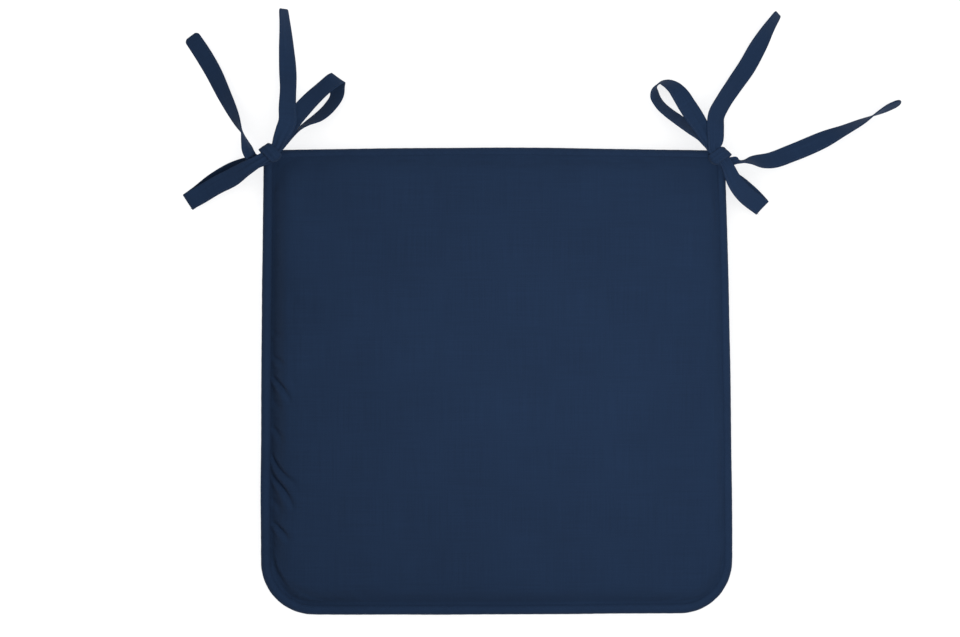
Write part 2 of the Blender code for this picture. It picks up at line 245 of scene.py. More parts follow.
# %% Lay a grid of cloth
def lay_grid(bm, columns, rows, rule):
    """rule(column, row) returns a point's place on the piece and on the flat cut, in mm."""
    cut = bm.verts.layers.float_vector.get("cut") or bm.verts.layers.float_vector.new("cut")
    grid = bmesh.ops.create_grid(bm, x_segments=columns, y_segments=rows, size=1.0)["verts"]
    for vert in grid:
        column = round((vert.co.x + 1.0) / 2.0 * columns)
        row = round((vert.co.y + 1.0) / 2.0 * rows)
        place, flat = rule(column, row)
        vert.co = Vector(place) * MM
        vert[cut] = Vector((*flat, 0.0)) * MM
    return grid


def to_object(bm, name):
    """Writes the UV map from the flat cut, closes the bmesh and returns its object."""
    cut = bm.verts.layers.float_vector["cut"]
    uv = bm.loops.layers.uv.new("cut cloth")
    for face in bm.faces:
        for loop in face.loops:
            loop[uv].uv = loop.vert[cut].xy
    bmesh.ops.remove_doubles(bm, verts=bm.verts, dist=0.001 * MM)
    bmesh.ops.recalc_face_normals(bm, faces=bm.faces)
    mesh = bpy.data.meshes.new(name)
    bm.to_mesh(mesh)
    bm.free()
    mesh.shade_smooth()
    piece = bpy.data.objects.new(name, mesh)
    bpy.context.scene.collection.objects.link(piece)
    return piece


# %% [markdown]
# The two panels differ only in height. Each is cut larger than the space it lies over, by
# as much cloth as its curved edge uses up, and the spare width sits near the seam. The
# sewn edges go a little way into the cord, or a gap would show beside it.

# %% Upper and lower panel
ALLOWANCE = 1.6  # the sewn edges run this far into the cord
RIM = 190.0  # a place near the seam, measured from the middle
CUTS_APART = 500.0  # the lower panel is cut beside the upper one


def lapped(x, y):
    """The cover laps over the cord more on some sides than on others."""
    rear, left, front, right = [edge.lap * math.exp((v - RIM) / SIDE_BLEND)
                                for v, edge in zip((y, -x, -y, x), SIDE_EDGES)]
    return x + right - left, y + rear - front


def grid_places():
    """Plan position and inset for each column and row of a panel's grid."""
    places = {}
    for ring in range(RINGS, 0, -1):
        inset = float(ring_insets[RINGS - ring])
        line = SEAM_INSET + (inset if ring < RINGS else -ALLOWANCE)
        rear, left, front, right = [evenly(side_line(side, line), 2 * ring + 1)
                                    for side in range(4)]
        for j in range(2 * ring + 1):
            places[ring - j, ring] = (*lapped(*rear[j]), inset)
            places[-ring, ring - j] = (*lapped(*left[j]), inset)
            places[j - ring, -ring] = (*lapped(*front[j]), inset)
            places[ring, j - ring] = (*lapped(*right[j]), inset)
    centre = np.mean([places[k] for k in ((1, 0), (0, 1), (-1, 0), (0, -1))], axis=0)
    places[0, 0] = (centre[0], centre[1], float(ring_insets[-1]))
    return places


def panel_rule(top):
    def rule(column, row):
        x, y, inset = places[column - RINGS, row - RINGS]
        height = top_height(x, y, inset) if top else under_height(inset)
        spare = extra_cloth - np.interp(inset, reach, along_cloth) + inset
        flat = [v + spare * math.copysign(abs(v / RIM) ** 5, v) for v in (x, y)]
        return (x, y, height), (flat[0] + (0.0 if top else CUTS_APART), flat[1])
    return rule


places = grid_places()
bm = bmesh.new()
for top in (True, False):
    lay_grid(bm, 2 * RINGS, 2 * RINGS, panel_rule(top))
bmesh.ops.bridge_loops(bm, edges=[edge for edge in bm.edges if edge.is_boundary])
cover = to_object(bm, "pad_cover")
print(f"cover: {len(cover.data.vertices)} points, {len(cover.data.polygons)} faces")

# %% [markdown]
# ## Fill it
#
# A cover that is only drawn looks like plastic. Cloth that is held down along a seam and
# pushed up from inside settles by itself, so this step is a short cloth simulation: the
# seam and the underside are pinned, the panel is a little larger than the space it has,
# and pressure stands for the foam. Twenty frames are enough. Firm foam would not let the
# cloth rise far or sink at all, so points may only move outward, by a millimetre or so.

# %% Settle the cover
MOST_RISE = 0.8
FREE = 3.0  # the cloth may move from this far above the seam
FRAMES = 20


def points_of(mesh):
    flat = np.empty(len(mesh.vertices) * 3)
    mesh.vertices.foreach_get("co", flat)
    return flat.reshape(-1, 3) / MM


def put_points(mesh, points):
    mesh.vertices.foreach_set("co", (points * MM).ravel())
    mesh.update()


def normals_of(mesh):
    flat = np.empty(len(mesh.vertices) * 3)
    mesh.vertex_normals.foreach_get("vector", flat)
    return flat.reshape(-1, 3)


def settle(piece, held, most):
    """A short cloth simulation in which points move outward only, by most mm at most."""
    group = piece.vertex_groups.new(name="sewn down")
    group.add([int(i) for i in held], 1.0, "REPLACE")
    cloth = piece.modifiers.new("cover cloth", "CLOTH")
    settings = cloth.settings
    settings.quality = 4
    settings.mass = 0.15
    settings.tension_stiffness = 12.0
    settings.compression_stiffness = 12.0
    settings.shear_stiffness = 5.0
    settings.bending_stiffness = 0.4
    settings.vertex_group_mass = group.name
    settings.shrink_min = -0.012
    settings.use_pressure = True
    settings.uniform_pressure_force = 10.0
    settings.effector_weights.gravity = 0.0
    cloth.point_cache.frame_start = 1
    cloth.point_cache.frame_end = FRAMES
    for number in range(1, FRAMES + 1):
        bpy.context.scene.frame_set(number)
    shaped = piece.evaluated_get(bpy.context.evaluated_depsgraph_get())
    before = points_of(piece.data)
    moved = points_of(shaped.to_mesh()) - before
    shaped.to_mesh_clear()
    piece.modifiers.remove(cloth)
    piece.vertex_groups.remove(group)
    bpy.context.scene.frame_set(1)
    normals = normals_of(piece.data)
    outward = np.maximum(np.sum(moved * normals, axis=1), 0.0)
    capped = most * np.tanh(outward / most)
    put_points(piece.data, before + normals * capped[:, None])
    return capped


height = points_of(cover.data)[:, 2]
upper = height > SEAM_HEIGHT + FREE
rose = settle(cover, np.nonzero(~upper)[0], MOST_RISE)
print(f"the cover rose {rose.max():.1f} mm at most and {rose[upper].mean():.1f} mm on average")

# %% [markdown]
# ## Draw in the seam and crease the side
#
# Sewing gathers the cloth a little, so it puckers beside the seam, more at the round
# corners, where a straight edge is eased round a curve. Along the left side the cover is
# also a little too long for the foam and lies in slanting creases. Sculpting by hand
# would not be repeatable, so a finer mesh is moved along its own normals by rules: noise
# that fades away from the seam for the puckers, and a short table for the creases.

# %% Double the mesh
def made_solid(piece, kind, **values):
    """Adds a modifier, and keeps its result as the piece's own mesh."""
    modifier = piece.modifiers.new(kind.lower(), kind)
    for key, value in values.items():
        setattr(modifier, key, value)
    shaped = piece.evaluated_get(bpy.context.evaluated_depsgraph_get())
    finished = bpy.data.meshes.new_from_object(shaped)
    piece.modifiers.clear()
    old, piece.data = piece.data, finished
    bpy.data.meshes.remove(old)
    finished.name = piece.name
    finished.shade_smooth()
    return piece


def refined(piece, wanted):
    """Cuts every face whose middle is wanted into four, and keeps the surface round."""
    bm = bmesh.new()
    bm.from_mesh(piece.data)
    faces = [face for face in bm.faces if wanted(face.calc_center_median() / MM)]
    edges = {edge for face in faces for edge in face.edges}
    bmesh.ops.subdivide_edges(bm, edges=list(edges), cuts=1, use_grid_fill=True, smooth=1.0,
                              smooth_falloff="LINEAR")
    bm.to_mesh(piece.data)
    bm.free()
    piece.data.shade_smooth()


CREASED_X, CREASED_Y = -158.0, 48.0  # the creases lie to the left and in front of these
made_solid(cover, "SUBSURF", levels=1, render_levels=1)
print(f"finer cover: {len(cover.data.polygons)} faces")
refined(cover, lambda p: p.z > SEAM_HEIGHT and p.x < CREASED_X and p.y < CREASED_Y)
print(f"finer still at the left: {len(cover.data.polygons)} faces")

# %% Creases along the left side
Crease = namedtuple("Crease", "x y to_x to_y bow depth width")
CREASES = [  # from the left seam inward; bow curves the line
    Crease(-191.0, 42.0, -179.0, 35.0, 0.5, 0.6, 2.4),
    Crease(-191.0, 21.0, -178.5, 12.0, 1.0, 1.3, 1.9),
    Crease(-191.0, 4.5, -173.5, -18.5, 1.5, 2.3, 1.9),
    Crease(-191.0, -14.0, -182.0, -28.0, 0.5, 0.7, 2.4),
    Crease(-191.0, -38.0, -180.5, -54.0, 1.0, 1.3, 2.2),
    Crease(-191.5, -61.0, -167.0, -88.0, -3.5, 2.2, 1.9),
    Crease(-191.0, -79.0, -170.5, -110.0, 2.0, 2.6, 2.0),
    Crease(-191.5, -99.0, -182.0, -113.0, 1.0, 1.0, 2.4),
    Crease(-191.0, -119.0, -174.5, -137.0, 1.5, 2.1, 1.9),
    Crease(-190.0, -150.0, -171.0, -182.0, -4.0, 1.5, 2.4),
]
FOLDS = [  # place and width in widths of the crease, height in its depths
    (-2.0, 1.4, 0.6),  # a ridge before it
    (2.4, 1.8, 0.3),  # a lower one behind it
    (0.0, 1.0, -1.0),  # the trough
]


def crease_depth(points, crease):
    """How far a crease pushes each point out, in mm; it widens and fades toward its end."""
    start = np.array([crease.x, crease.y])
    run = np.array([crease.to_x, crease.to_y]) - start
    length = np.hypot(*run)
    t = (points[:, :2] - start) @ run / length ** 2
    off = (points[:, :2] - start) @ np.array([-run[1], run[0]]) / length
    off = off - crease.bow * 4.0 * t * (1.0 - t)
    inside = np.clip(t, 0.0, 1.0)
    strength = crease.depth * np.sin(math.pi * inside ** 0.8)
    width = crease.width * (0.8 + 0.5 * inside)
    return strength * sum(tall * np.exp(-((off - place * width) / (wide * width)) ** 2)
                          for place, wide, tall in FOLDS)


print(f"creases: {len(CREASES)}, the deepest {max(crease.depth for crease in CREASES)} mm")

# %% [markdown]
# A pucker starts at the seam, is strongest a few millimetres from it and then fades. Short
# waves and one slow wave along the seam are added, so that no two puckers are alike.

# %% Puckers beside the seam
PUCKER = 0.22  # how strong they are everywhere,
CORNER_PUCKER = 0.30  # how much more at the round corners
LEFT_PUCKER = 0.25  # and at the slack left side
SLOW_PUCKER = 0.55
PUCKER_REACH = 40.0
CORNER_REACH = 45.0
LEFT_STRIP = -150.0
FOAM_SWELL, FOAM_SPACING = 0.35, 60.0  # the foam isn't quite even either
FLAT_BELOW = 1.0  # the flat underside isn't touched

seam_tree = KDTree(len(seam))
for i, (x, y) in enumerate(seam):
    seam_tree.insert((x, y, 0.0), i)
seam_tree.balance()


def wave(number, length, seed):
    return noise(Vector((number / length, seed, 0.0)))


def fading(distance, peak):
    """0 at the seam, 1 at the peak distance and less and less beyond it."""
    return distance / peak * math.exp(1.0 - distance / peak)


def pucker_depth(point):
    """How far sewing draws a point in or out, from its distance to the seam."""
    _, number, distance = seam_tree.find((point[0], point[1], 0.0))
    if distance > PUCKER_REACH:
        return 0.0
    corner = min(math.hypot(point[0] - c.x, point[1] - c.y) for c in OUTLINE[2:])
    strength = PUCKER + CORNER_PUCKER * math.exp(-(corner / CORNER_REACH) ** 2)
    strength += LEFT_PUCKER * (point[0] < LEFT_STRIP)
    short = wave(number, 4.6, 7.0) + 0.6 * wave(number, 9.5, 2.0)
    slow = SLOW_PUCKER * wave(number, 34.0, 5.0)
    return strength * short * fading(distance, 3.0) + slow * fading(distance, 9.0)


points = points_of(cover.data)
normals = normals_of(cover.data)
upper = points[:, 2] > SEAM_HEIGHT
push = np.array([pucker_depth(p) if p[2] > FLAT_BELOW else 0.0 for p in points])
push[upper] += sum(crease_depth(points[upper], crease) for crease in CREASES)
push[upper] += [FOAM_SWELL * noise(Vector((x / FOAM_SPACING, y / FOAM_SPACING, 1.5)))
                for x, y, _ in points[upper]]
put_points(cover.data, points + normals * push[:, None])
print(f"puckers and creases: {push.min():.1f} to {push.max():.1f} mm")

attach(cover, "root")
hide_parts("pad")

# %% [markdown]
# ## The corded edge
#
# Piping is a soft cotton cord inside a strip of the cover's cloth, cut on the bias so that
# it bends round corners. A plain tube along the seam would be too perfect, and the strip
# is cloth again: a long flat grid, rolled round the cord, whose long edges meet. Its
# radius wavers, the cord wanders a little from side to side, and shallow slanting wrinkles
# show where the bias strip has pulled. Round the front corners they are deeper.

# %% Roll the strip round the cord
CORD_SIDES = 20
CORD_STEP = 2.4
WAVER, WANDER, SAG = 0.12, 0.4, 0.35  # of its radius, sideways, and up or down
WRINKLE, CORNER_WRINKLE = 0.09, 0.14  # everywhere, and more of it at round corners
WRINKLE_PITCH = 11.0
CORNER_SIZE = 38.0


def cord_line():
    line = whole_outline(CORD_RADIUS, CORD_STEP)
    after = np.roll(line, -1, axis=0) - np.roll(line, 1, axis=0)
    ahead = after / np.linalg.norm(after, axis=1, keepdims=True)
    outward = np.stack([ahead[:, 1], -ahead[:, 0]], axis=1)
    return line, outward


line, outward = cord_line()
laps = len(line)
around_cloth = 2 * math.pi * CORD_RADIUS


def looped(length, number, seed):
    """Noise along the closed cord, whose end meets its start."""
    angle = 2 * math.pi * number / laps
    size = laps * CORD_STEP / length / (2 * math.pi)
    return noise(Vector((size * math.cos(angle), size * math.sin(angle), seed)))


def cord_rule(column, row):
    number = row % laps
    turn = math.pi + 2 * math.pi * column / CORD_SIDES  # the strip's edges meet at the seam
    x, y = line[number]
    corner = min(math.hypot(x - c.x, y - c.y) for c in OUTLINE[2:])
    pull = WRINKLE + CORNER_WRINKLE * math.exp(-(corner / CORNER_SIZE) ** 2)
    slant = 2 * math.pi * round(laps * CORD_STEP / WRINKLE_PITCH) * number / laps
    wrinkle = math.sin(slant + turn + 2.5 * looped(30.0, number, 1.0))
    fade = 0.5 + 0.5 * looped(22.0, number, 4.0)
    radius = CORD_RADIUS + WAVER * looped(40.0, number, 2.0) + pull * wrinkle * fade
    aside = WANDER * looped(60.0, number, 3.0) + radius * math.cos(turn)
    place = line[number] + outward[number] * aside
    height = SEAM_HEIGHT + SAG * looped(75.0, number, 6.0) + radius * math.sin(turn)
    return (*place, height), (around_cloth * column / CORD_SIDES, CORD_STEP * row)


bm = bmesh.new()
lay_grid(bm, CORD_SIDES, laps, cord_rule)
piping = to_object(bm, "piping_cord")
made_solid(piping, "SUBSURF", levels=1, render_levels=1)
print(f"piping: {laps * CORD_STEP / 1000:.2f} m of cord, {len(piping.data.polygons)} faces")

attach(piping, "root")
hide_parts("piping")

# %% [markdown]
# ## The tapes
#
# Each rear corner has two tapes. One, the core, lies along the knot, makes a loop and
# comes back; the other, the wrap, goes once round it, makes its own loop and is pulled
# through. A bow could be a few bent tubes, but the charm of a tied tape is that it stays
# a flat strip: it turns on edge, folds over and lies in another direction, and it never
# stretches. So each tape is written as a route of short rows, from its sewn end to its
# free end, and a flat strip is bent along it.

# %% The knot's rows
# Each row of a route is (along, out, rise, heading, tilt, width).
#   along, out  place in the bow's own frame: along the bow, and outward from the pad
#   rise        height of the tape's lowest edge
#   heading     compass direction of the line across the tape, from 0 (along) to 90 (out)
#   tilt        slope of that line: 0 lies flat, 90 stands on edge, 180 is turned over
#   width       how wide the tape is there: full, or gathered in the knot
Bow = namedtuple("Bow", "x y axis hand")
W = 15.6
THICKNESS = 1.2
LEFT_BOW = Bow(-191.0, 193.6, 40.0, 1)
RIGHT_BOW = Bow(187.6, 191.0, 131.0, -1)

# The core tie lies under the knot, leaves it for its loop and comes back through the wrap.
CORE_START = [
    (5.0, -1.0, 16.3, -90, 0, 9.5), (-2.0, -1.0, 16.3, -90, 0, 10.0),
    (-8.0, -0.5, 16.2, -90, 0, 10.5),
]
CORE_THROUGH = [
    (-7.0, 0.2, 22.4, -90, 0, 9.6), (0.0, 0.0, 22.2, -90, 0, 9.6),
    (6.5, 0.2, 22.2, -90, 0, 10.0),
]
# The wrap tie climbs the pad's side of the knot, passes over the core and down outside
# it, turns under the core to its own loop, and comes back through the knot.
WRAP_START = [
    (0.5, -8.4, 16.6, -180, 0, 9.0), (0.5, -8.2, 19.0, -180, 0, 10.0),
    (0.3, -7.3, 22.5, -180, 0, 11.0), (0.0, -4.5, 24.5, -180, 0, 11.0),
    (-0.3, 0.0, 24.9, -180, 0, 11.0), (-0.6, 4.5, 24.5, -183, 0, 11.0),
    (-1.6, 7.2, 22.4, -187, 0, 10.4), (-2.8, 8.0, 20.4, -187, 0, 9.0),
    (-3.6, 7.2, 18.5, -180, 0, 7.0), (-3.8, 4.2, 18.2, -160, 0, 6.5),
    (-1.6, 1.0, 18.2, -128, 0, 6.5), (3.0, 0.0, 18.2, -95, 0, 7.5),
]
WRAP_THROUGH = [
    (8.0, 0.2, 20.4, -90, 0, 10.5), (0.0, 0.0, 20.2, -90, 0, 10.5),
    (-7.5, 0.3, 20.0, -92, 0, 9.5),
]
print("rows in a knot:", len(CORE_START + CORE_THROUGH + WRAP_START + WRAP_THROUGH))

# %% [markdown]
# The left bow has a flat loop toward the left, an open loop behind the rear edge, a tail
# that points to the rear and a long tail with a half turn near its root.

# %% Rows of the left bow
LEFT_CORE_LOOP = [
    (-13.0, 1.5, 15.8, -94, 0, 11.0), (-22.7, 5.4, 10.6, -100, 5, 14.0),
    (-35.8, 10.4, 3.6, -102, 4, W), (-54.0, 13.8, 0.8, -101, 0, W),
    (-70.9, 14.3, 0.3, -101, 0, W), (-80.2, 14.8, 0.4, -100, 0, W),
    (-82.6, 14.9, 2.2, -100, 0, W), (-80.2, 14.6, 4.0, -100, 0, W),
    (-71.2, 12.6, 5.4, -101, 2, W), (-54.0, 9.3, 9.8, -101, 5, W),
    (-37.5, 4.9, 15.6, -99, 8, W), (-25.0, 2.9, 20.6, -98, 10, 13.0),
    (-14.5, 1.0, 23.4, -92, 4, 10.5),
]
LEFT_CORE_TAIL = [
    (13.2, 3.6, 23.0, -74, -4, 12.0), (20.0, 6.6, 22.9, -66, -8, 14.5),
    (27.0, 10.4, 21.4, -58, -14, W), (33.6, 18.6, 18.2, -50, -22, W),
    (44.5, 31.4, 10.5, -42, -34, W), (54.3, 44.2, 5.0, -40, -24, W),
    (65.5, 59.2, 1.6, -40, -38, W), (76.8, 74.6, 0.4, -38, -56, W),
    (86.4, 88.2, 0.3, -44, -68, W),
]
LEFT_WRAP_LOOP = [
    (10.0, 0.3, 17.8, -90, 6, 8.5), (18.5, 0.8, 13.0, -92, 48, 11.0),
    (28.4, 0.8, 7.4, -95, 74, 14.0), (38.5, 0.0, 3.6, -88, 70, W),
    (49.3, -1.7, 1.4, -80, 52, W), (62.7, -1.0, 0.5, -61, 43, W),
    (73.9, 2.8, 0.3, -42, 37, W), (79.2, 8.8, 0.3, -56, 30, W),
    (82.2, 12.0, 0.7, -68, 22, W), (84.4, 13.2, 2.6, -75, 18, W),
    (82.0, 13.8, 4.8, -80, 22, W), (68.5, 14.2, 6.6, -87, 28, W),
    (54.7, 13.3, 10.0, -87, 20, W), (42.7, 11.4, 13.2, -87, 15, W),
    (29.9, 8.0, 16.4, -88, 10, 14.0), (17.5, 2.6, 19.7, -88, 4, 11.0),
]
LEFT_WRAP_TAIL = [
    (-12.4, 2.6, 18.7, -122, 10, 8.0), (-15.2, 6.8, 17.2, -172, 18, 9.5),
    (-14.8, 12.2, 14.2, -196, 42, 12.5), (-12.0, 18.0, 9.4, -202, 64, W),
    (-8.6, 27.0, 5.0, -204, 88, W), (-5.6, 39.0, 2.4, -200, 114, W),
    (0.1, 62.8, 0.5, -192, 142, W), (5.9, 86.3, 0.3, -188, 158, W),
    (8.9, 103.8, 0.3, -184, 161, W), (10.9, 121.8, 0.3, -182, 154, W),
]
print("rows in the two loops:", len(LEFT_CORE_LOOP + LEFT_WRAP_LOOP))

# %% [markdown]
# The right bow has a flat loop outward over the right edge, a round open loop behind the
# rear edge, a tail that points to the rear and a long tail that turns on edge twice.

# %% Rows of the right bow
RIGHT_CORE_LOOP = [
    (-14.0, -2.4, 15.8, -90, 4, 11.0), (-23.0, -3.2, 12.6, -96, 20, 13.5),
    (-36.6, -0.8, 3.4, -98, 10, W), (-48.2, 0.8, 0.5, -99, 2, W),
    (-56.2, 0.8, 0.4, -100, 0, W), (-58.6, 0.5, 2.2, -100, 0, W),
    (-56.2, 0.0, 4.0, -100, 0, W), (-48.4, -2.2, 7.0, -98, 3, W),
    (-38.4, -4.4, 13.0, -97, 6, W), (-24.0, -4.4, 20.2, -97, 9, 14.0),
    (-14.0, -1.6, 23.4, -92, 4, 11.0),
]
RIGHT_CORE_TAIL = [
    (11.5, 5.8, 22.8, -62, 0, 13.4), (19.0, 12.4, 21.8, -50, 6, 14.6),
    (26.0, 19.2, 17.4, -44, 22, W), (31.7, 33.1, 11.0, -42, 30, W),
    (36.4, 50.5, 5.2, -36, 24, W), (41.3, 70.2, 1.8, -26, 8, W),
    (47.3, 86.7, 0.6, -30, 16, W), (53.2, 103.1, 0.3, -24, 45, W),
    (57.9, 119.0, 0.3, -22, 66, W),
]
RIGHT_WRAP_LOOP = [
    (10.0, 0.0, 18.0, -92, 6, 8.5), (19.6, -0.2, 12.0, -100, 44, 12.0),
    (31.4, -2.5, 6.8, -98, 53, W), (44.4, -4.8, 3.4, -96, 49, W),
    (54.9, -7.0, 1.4, -94, 51, W), (66.1, -7.9, 0.5, -83, 53, W),
    (74.2, -6.0, 0.3, -62, 56, W), (78.3, -2.2, 0.3, -52, 72, W),
    (79.4, 1.4, 0.3, -95, 88, W), (78.7, 4.8, 0.6, -136, 76, W),
    (75.6, 7.8, 2.2, -126, 60, W), (69.5, 10.0, 5.4, -106, 41, W),
    (60.3, 10.0, 9.6, -94, 18, W), (49.8, 8.2, 13.0, -91, 6, W),
    (38.3, 6.2, 16.2, -91, 4, W), (28.1, 4.4, 18.4, -92, 6, 14.0),
    (17.0, 1.6, 19.8, -90, 3, 11.0),
]
RIGHT_WRAP_TAIL = [
    (-10.6, 4.2, 19.0, -128, 10, 7.6), (-12.8, 8.2, 18.0, -138, 34, 8.0),
    (-15.6, 10.2, 15.0, -140, 74, 10.0), (-19.4, 14.2, 11.6, -142, 76, 14.0),
    (-24.0, 20.2, 9.2, -139, 53, W), (-32.2, 31.4, 6.6, -140, 30, W),
    (-39.5, 50.0, 3.2, -154, 15, W), (-46.6, 71.4, 1.2, -163, 15, W),
    (-53.3, 94.3, 0.4, -168, 52, W), (-58.8, 114.2, 0.3, -166, 75, W),
    (-61.3, 126.0, 0.3, -165, 96, W), (-63.9, 136.3, 0.3, -165, 109, W),
    (-67.6, 148.5, 0.3, -164, 106, W),
]
print("rows in the two loops:", len(RIGHT_CORE_LOOP + RIGHT_WRAP_LOOP))

# %% [markdown]
# Between its rows a tape follows one smooth curve. The same curve carries the slope of
# the line across the tape, so a twist is shared out evenly. At each step the line across
# is squared up to the direction of travel: a flat strip can bend and twist, but its
# threads stay at right angles.

# %% A smooth route
FLOOR_GAP = 0.3
LEAST_SPAN = 0.5
Route = namedtuple("Route", "travelled centre across face width")


def smooth_rows(rows):
    """Every column read from one smooth curve through the rows, about 1 mm apart."""
    values = np.array(rows, dtype=float)
    spans = np.maximum(np.linalg.norm(np.diff(values[:, :3], axis=0), axis=1), LEAST_SPAN)
    slopes = np.empty_like(values)
    steps = np.diff(values, axis=0) / spans[:, None]
    slopes[0], slopes[-1] = steps[0], steps[-1]
    back, ahead = spans[:-1, None], spans[1:, None]
    slopes[1:-1] = (steps[:-1] * ahead + steps[1:] * back) / (back + ahead)
    smooth = []
    for p, q, m, n, span in zip(values, values[1:], slopes, slopes[1:], spans):
        for t in np.linspace(0.0, 1.0, max(3, math.ceil(span)), endpoint=False):
            smooth.append((2 * t**3 - 3 * t**2 + 1) * p + (t**3 - 2 * t**2 + t) * span * m
                          + (3 * t**2 - 2 * t**3) * q + (t**3 - t**2) * span * n)
    return np.array(smooth + [values[-1]])


def unit(vectors):
    return vectors / np.linalg.norm(vectors, axis=1, keepdims=True)


def tie_route(bow, rows):
    along, out, rise, heading, tilt, width = smooth_rows(rows).T
    axis = math.radians(bow.axis)
    tilt = np.radians(tilt)
    heading = axis + bow.hand * np.radians(heading)
    lift = (width * abs(np.sin(tilt)) + THICKNESS * abs(np.cos(tilt))) / 2
    centre = np.stack([
        bow.x + along * math.cos(axis) - bow.hand * out * math.sin(axis),
        bow.y + along * math.sin(axis) + bow.hand * out * math.cos(axis),
        rise + lift], axis=1)
    across = np.stack([np.cos(tilt) * np.cos(heading), np.cos(tilt) * np.sin(heading),
                       np.sin(tilt)], axis=1)
    ahead = unit(np.gradient(centre, axis=0))
    across = unit(across - ahead * np.sum(across * ahead, axis=1, keepdims=True))
    level = np.hypot(across[:, 0], across[:, 1])
    lowest = centre[:, 2] - abs(across[:, 2]) * width / 2 - THICKNESS / 2 * level
    centre[:, 2] += np.maximum(FLOOR_GAP - lowest, 0.0)
    step = np.linalg.norm(np.diff(centre, axis=0), axis=1)
    travelled = np.concatenate([[0.0], np.cumsum(step)])
    face = unit(np.cross(unit(np.gradient(centre, axis=0)), across))
    return Route(travelled, centre, across, face, width)


left_tail = tie_route(LEFT_BOW, LEFT_CORE_TAIL)
print(f"the rear tail of the left bow: {left_tail.travelled[-1]:.0f} mm beyond the knot")

# %% [markdown]
# ## Bend a flat tape
#
# A tape is stitched from a folded strip, so it has two faces, rounded edges, a line of
# stitches near its open edge and a turned-in end. All of that is easy to place while the
# tape is flat: so far along, so far aside, so far off the middle. One function then takes
# any flat point to its place on the bow. Where the knot squeezes the tape, the spare
# width goes into lengthwise pleats, and free stretches are slightly cupped.

# %% From the flat tape to the bow
PLEAT = 0.75  # depth of the pleats in a gathered tape
GATHERED = 0.4  # a tape that has lost this share of its width is one
CUP = 0.55
ROLL_LENGTH = 24.0


def on_tie(route, seed, roll, points):
    """Places of flat points (along, aside, off) on the tied tape, all in mm. The edges of
    its first stretch, from the sewn end on, are bent back by roll."""
    along, aside, off = np.array(points, dtype=float).T

    def read(values):
        return np.stack([np.interp(along, route.travelled, axis) for axis in values.T], axis=1)

    centre, across, face = read(route.centre), unit(read(route.across)), unit(read(route.face))
    squeeze = np.interp(along, route.travelled, route.width) / W
    share = aside / (W / 2)
    gather = np.sqrt(np.clip(1.0 - squeeze, 0.0, 1.0) / GATHERED)
    drift = np.array([noise(Vector((v / 16.0, seed, 0.0))) for v in along])
    cup = np.array([noise(Vector((v / 24.0, seed, 9.0))) for v in along])
    pleat = PLEAT * gather * np.cos(2.4 * math.pi * share + 1.2 * drift) * (1.0 - 0.4 * share**2)
    upward = face * face[:, 2:3]
    bowed = CUP * cup * (share**2 - 0.4) * np.clip(1.0 - gather, 0.0, 1.0)
    rolled = roll * np.exp(-(along / ROLL_LENGTH) ** 6) * share**2
    place = centre + across * (aside * squeeze)[:, None]
    place = place + upward * pleat[:, None]
    return place + face * (off + bowed - rolled)[:, None]


def bend(bm, route, seed, roll):
    """Takes every point of a flat piece from (along, aside, off) to its place on the bow."""
    places = on_tie(route, seed, roll, [vert.co / MM for vert in bm.verts])
    for vert, place in zip(bm.verts, places):
        vert.co = Vector(place) * MM


# %% [markdown]
# The flat tape itself is two grids, one for each face, joined round their edges. Their
# columns are close together at the edges and beside the stitch line, where the thickness
# changes. A tape's corners are cut round at its free end, each by its own radius.

# %% A flat tape
HALF_COLUMNS = [0.8, 2.5, 4.2, 5.7, 6.2, 6.7, 7.4, 7.8]
COLUMNS = [-column for column in reversed(HALF_COLUMNS)] + HALF_COLUMNS
STITCH_LINE = 6.2
HEM = 7.0
TAPE_STEP = 1.5
AT_EDGE, AT_STITCHES, AT_HEM = 0.45, 0.72, 1.25  # thickness there against elsewhere
FACES_APART = 20.0  # the under face is cut beside the upper one


def end_narrowing(along, length, radius):
    """How much narrower a tape with rounded end corners is near its free end."""
    past = along - (length - radius)
    if past <= 0.0:
        return 1.0
    return 1.0 - (radius - math.sqrt(max(radius**2 - past**2, 0.0))) / (W / 2)


def tape_thickness(along, aside, length):
    """Half the thickness: less on the edges and in the stitch line, more at the hem."""
    half = THICKNESS / 2
    if abs(abs(aside) - W / 2) < 0.01:
        half *= AT_EDGE
    if abs(aside - STITCH_LINE) < 0.01:
        half *= AT_STITCHES
    if along > length - HEM:
        half *= AT_HEM
    return half


def make_tape(name, route, seed, roll, corner_radius):
    length = route.travelled[-1]
    rows = round(length / TAPE_STEP)

    def flat_rule(side):
        def rule(column, row):
            along, aside = length * row / rows, COLUMNS[column]
            off = side * tape_thickness(along, aside, length)
            narrow = end_narrowing(along, length, corner_radius)
            return (along, aside * narrow, off), (aside + FACES_APART * (side < 0), along)
        return rule

    bm = bmesh.new()
    for side in (1.0, -1.0):
        lay_grid(bm, len(COLUMNS) - 1, rows, flat_rule(side))
    bmesh.ops.bridge_loops(bm, edges=[edge for edge in bm.edges if edge.is_boundary])
    bend(bm, route, seed, roll)
    return to_object(bm, name)


print(f"columns across a tape: {len(COLUMNS)}")

# %% Stitches
STITCH_PITCH = 3.2
STITCH_HALF = (1.25, 0.2, 0.17)  # half of a stitch's length, width and thickness
STITCH_OFF = 0.52  # its middle, from the middle of the tape
FIRST_STITCH = 8.0
UNSTITCHED = 14.0  # at both ends together
SEGMENTS, BANDS = 8, 6


